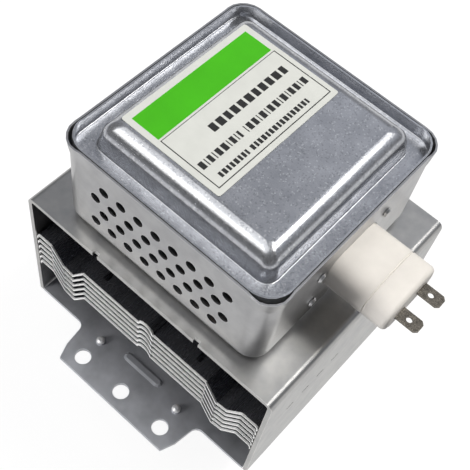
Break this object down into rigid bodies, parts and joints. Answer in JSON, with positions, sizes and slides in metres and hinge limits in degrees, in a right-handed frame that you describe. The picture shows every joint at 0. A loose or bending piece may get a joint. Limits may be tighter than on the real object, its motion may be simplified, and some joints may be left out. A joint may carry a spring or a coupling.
{
  "type": "magnetron",
  "caption": "Oven magnetron: steel yoke with cooling fins round a copper tube, a perforated filter box with a raised lid above, spade terminals at the side and an antenna below.",
  "frame": {"origin": "on the tube's axis, at the underside of the mounting plate, where it meets the waveguide", "axes": "+Z along the tube towards the filter box, so the antenna points to -Z; +X towards the filter capacitor; air flows along Y"},
  "size_m": [0.1195, 0.1186, 0.1303],
  "materials": {
    "galvanised_steel": "zinc-coated sheet, soft grey spangle",
    "lid_steel": "zinc-coated sheet, bluish grey with fine spangle",
    "fin_aluminium": "bright rolled sheet",
    "ferrite": "matt sintered black",
    "copper": "bare copper",
    "pole_steel": "bare pressed steel",
    "can_steel": "drawn bright steel",
    "alumina": "unglazed pale alumina",
    "gasket_wire": "knitted wire",
    "molybdenum": "ground metal",
    "tungsten": "dark drawn wire",
    "label_film": "satin film with a green band",
    "ivory_plastic": "moulded ivory plastic",
    "blade_metal": "tin-plated brass, slightly dulled"
  },
  "bodies": {
    "root": {"mounting_plate": "galvanised_steel", "yoke": "galvanised_steel", "cooling_fin_1": "fin_aluminium", "cooling_fin_2": "fin_aluminium", "cooling_fin_3": "fin_aluminium", "cooling_fin_4": "fin_aluminium", "cooling_fin_5": "fin_aluminium", "cooling_fin_6": "fin_aluminium", "lower_magnet": "ferrite", "upper_magnet": "ferrite", "anode_cylinder": "copper", "upper_strap": "copper", "lower_strap": "copper", "lower_pole_piece": "pole_steel", "upper_pole_piece": "pole_steel", "input_seal_can": "can_steel", "output_seal_can": "can_steel", "antenna_ceramic": "alumina", "exhaust_tube": "copper", "antenna_cap": "can_steel", "antenna_lead": "copper", "gasket_collar": "can_steel", "rf_gasket": "gasket_wire", "stem_ceramic": "alumina", "upper_end_hat": "molybdenum", "lower_end_hat": "molybdenum", "cathode_centre_rod": "molybdenum", "cathode_side_rod": "molybdenum", "filament": "tungsten", "filter_box": "galvanised_steel", "filter_lid": "lid_steel", "rating_label": "label_film", "capacitor_body": "ivory_plastic", "terminal_blade_1": "blade_metal", "terminal_blade_2": "blade_metal", "capacitor_bracket": "galvanised_steel", "bracket_rivet_1": "galvanised_steel", "bracket_rivet_2": "galvanised_steel", "bracket_rivet_3": "galvanised_steel", "bracket_rivet_4": "galvanised_steel", "choke_coil_1": "copper", "choke_coil_2": "copper", "choke_core_1": "ferrite", "choke_core_2": "ferrite"}
  },
  "joints": []
}
